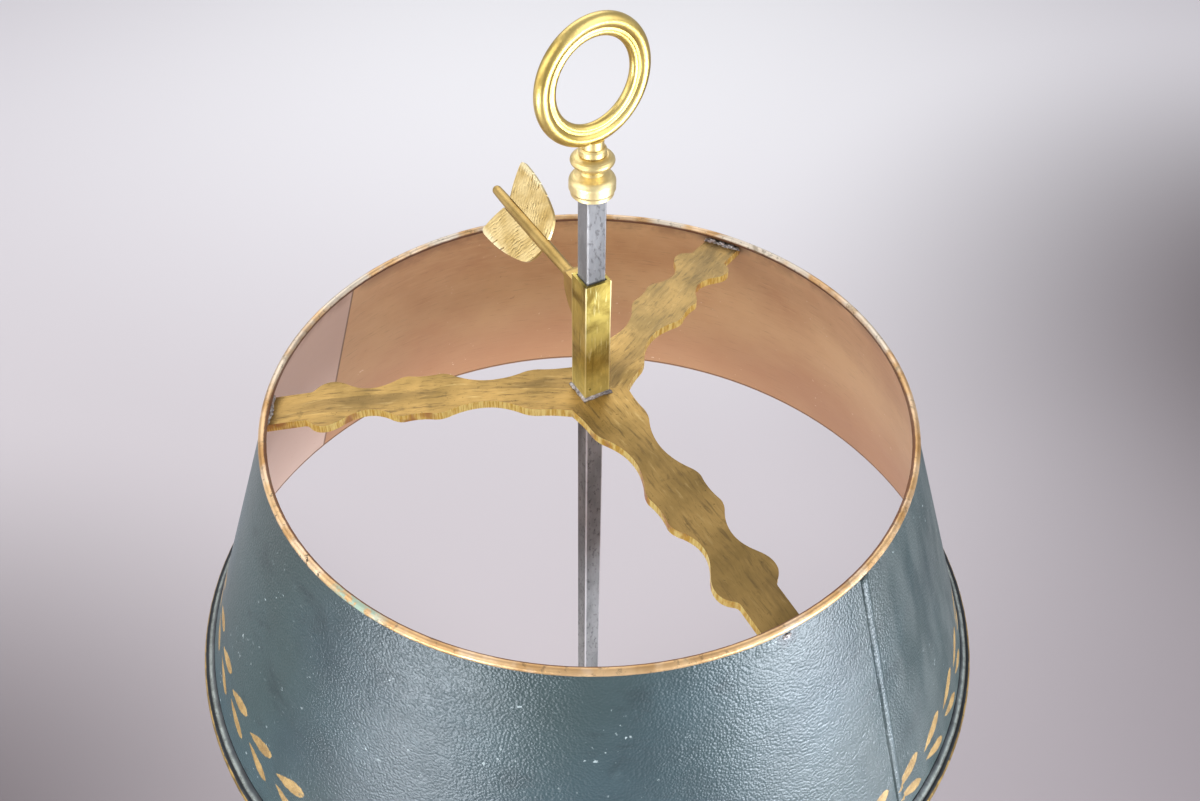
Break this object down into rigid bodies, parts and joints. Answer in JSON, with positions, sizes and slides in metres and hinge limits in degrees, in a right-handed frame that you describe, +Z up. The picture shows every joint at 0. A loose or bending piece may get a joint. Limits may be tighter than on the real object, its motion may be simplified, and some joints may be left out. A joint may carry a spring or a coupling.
{
  "type": "bouillotte lamp",
  "caption": "Table lamp with a dished brass foot, curved candle arms and a painted tin shade that slides on a square rod, clamped by an arrow-shaped screw.",
  "frame": {"origin": "centre of the base's underside, on the table", "axes": "+Z up along the rod, -Y towards the switch knob and the picture's viewer, +X along the right candle arm"},
  "size_m": [0.3796, 0.3796, 0.6995],
  "materials": {
    "green_japanning": "dark green japanned tin, orange-peel gloss, worn",
    "gilt_rim": "worn gilding over tin",
    "black_bead": "black japanning, worn to metal",
    "iron": "dark iron",
    "old_brass": "brushed brass with brown patina",
    "brass": "satin brass with scratches",
    "bright_brass": "polished brass",
    "solder": "grey tin solder",
    "steel": "greyed steel, bright at its edges",
    "black_plastic": "black moulded plastic",
    "wire_insulation": "ivory insulation",
    "ivory_sleeve": "ivory candle sleeve",
    "felt": "green felt",
    "milk_glass": "opal glass"
  },
  "bodies": {
    "stand": {"square_rod": "steel", "finial_baluster": "bright_brass", "finial_neck": "bright_brass", "finial_ring": "bright_brass", "rod_socket": "brass", "rod_nut": "iron", "bowl_cover": "brass", "junction_bowl": "brass", "terminal_block": "wire_insulation", "tie_tube": "steel", "tie_nuts": "iron", "stem_knop": "bright_brass", "stem_column": "brass", "stem_collar": "bright_brass", "pedestal": "brass", "switch_body": "black_plastic", "switch_bezel": "bright_brass", "switch_nut": "bright_brass", "cable_gland": "black_plastic", "gland_nut": "black_plastic", "supply_wire": "wire_insulation", "switch_wire": "wire_insulation", "base_dish": "old_brass", "base_weight": "iron", "base_washer": "steel", "felt_pad": "felt", "arm_right": "brass", "arm_left": "brass", "arm_wire_right": "wire_insulation", "arm_wire_left": "wire_insulation", "drip_pan_right": "bright_brass", "drip_pan_left": "bright_brass", "candle_cup_right": "brass", "candle_cup_left": "brass", "light_nipples": "steel", "candle_sleeve_right": "ivory_sleeve", "candle_sleeve_left": "ivory_sleeve", "lampholder_right": "black_plastic", "lampholder_left": "black_plastic", "bulb_cap_right": "steel", "bulb_cap_left": "steel", "bulb_glass_right": "milk_glass", "bulb_glass_left": "milk_glass"},
    "shade": {"panel_front_left": "green_japanning", "panel_back_right": "green_japanning", "rim_roll": "gilt_rim", "rim_wire": "iron", "bead_roll": "black_bead", "bead_wire": "iron", "spider_plate": "old_brass", "arm_solder": "solder", "slide_sleeve": "brass", "sleeve_solder": "solder", "clamp_boss": "bright_brass"},
    "arrow": {"arrow_screw": "bright_brass", "vane_upper": "bright_brass", "vane_lower": "bright_brass"},
    "knob": {"switch_knob": "bright_brass"}
  },
  "joints": [
    {"name": "shade_slide", "type": "slide", "parent": "stand", "child": "shade", "axis": [0, 0, 1], "range_m": [-0.16, 0.0392]},
    {"name": "arrow_turn", "type": "hinge", "parent": "shade", "child": "arrow", "pos_m": [-0.01179, 0.01633, 0.5815], "axis": [-0.4848, 0.8746, 0], "range_deg": [0, 360]},
    {"name": "switch_turn", "type": "hinge", "parent": "stand", "child": "knob", "pos_m": [0, -0.036, 0.0415], "axis": [0, -1, 0], "range_deg": [0, 90]}
  ]
}
